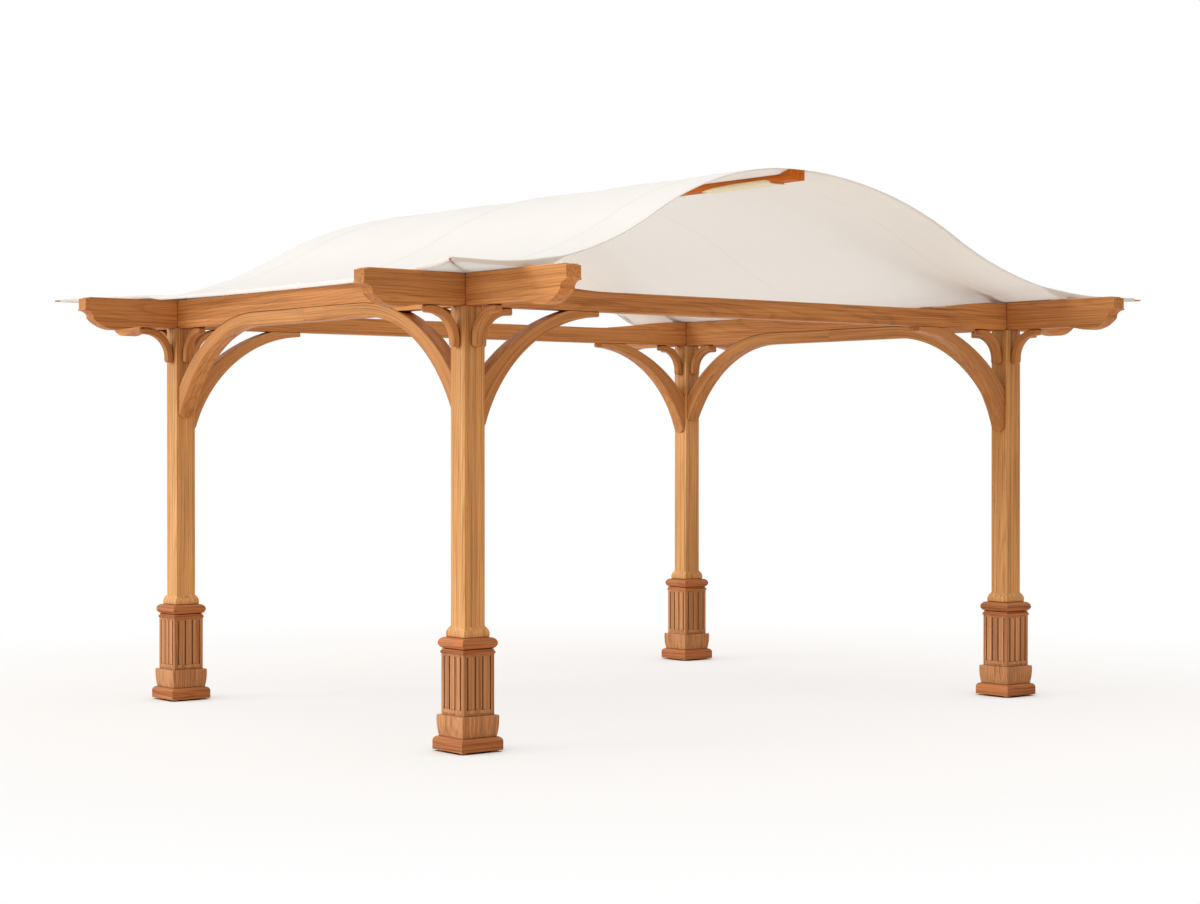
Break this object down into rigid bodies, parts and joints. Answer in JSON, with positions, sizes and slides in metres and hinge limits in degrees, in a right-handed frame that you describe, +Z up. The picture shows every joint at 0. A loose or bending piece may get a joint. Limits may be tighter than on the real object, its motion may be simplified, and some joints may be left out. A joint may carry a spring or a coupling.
{
  "type": "garden gazebo",
  "caption": "Open timber gazebo with square posts on moulded pedestals, crossed beams with carved tails, arched braces and an ogee fabric canopy.",
  "frame": {"origin": "on the ground at the middle of the four posts", "axes": "+X along the gabled front from the left post to the right post, +Y along the ridge from front to back, +Z up"},
  "size_m": [5.181, 4.575, 2.9553],
  "materials": {
    "frame_wood": "oiled golden brown timber with visible grain",
    "pedestal_wood": "oiled reddish brown timber, a little darker than the frame",
    "canvas": "off-white woven canvas, matt",
    "glide": "pale moulded foot glide"
  },
  "bodies": {
    "root": {"front_left_feet": "glide", "front_left_plinth": "pedestal_wood", "front_left_apron": "pedestal_wood", "front_left_die": "pedestal_wood", "front_left_cap": "pedestal_wood", "front_left_post": "frame_wood", "front_left_brackets": "frame_wood", "front_right_feet": "glide", "front_right_plinth": "pedestal_wood", "front_right_apron": "pedestal_wood", "front_right_die": "pedestal_wood", "front_right_cap": "pedestal_wood", "front_right_post": "frame_wood", "front_right_brackets": "frame_wood", "back_left_feet": "glide", "back_left_plinth": "pedestal_wood", "back_left_apron": "pedestal_wood", "back_left_die": "pedestal_wood", "back_left_cap": "pedestal_wood", "back_left_post": "frame_wood", "back_left_brackets": "frame_wood", "back_right_feet": "glide", "back_right_plinth": "pedestal_wood", "back_right_apron": "pedestal_wood", "back_right_die": "pedestal_wood", "back_right_cap": "pedestal_wood", "back_right_post": "frame_wood", "back_right_brackets": "frame_wood", "front_beam": "frame_wood", "back_beam": "frame_wood", "left_beam": "frame_wood", "right_beam": "frame_wood", "front_left_brace": "frame_wood", "front_right_brace": "frame_wood", "back_left_brace": "frame_wood", "back_right_brace": "frame_wood", "left_front_arch": "frame_wood", "left_back_arch": "frame_wood", "right_front_arch": "frame_wood", "right_back_arch": "frame_wood", "ridge_beam": "frame_wood", "left_laths": "frame_wood", "right_laths": "frame_wood", "corner_spars": "frame_wood", "canopy": "canvas"}
  },
  "joints": []
}
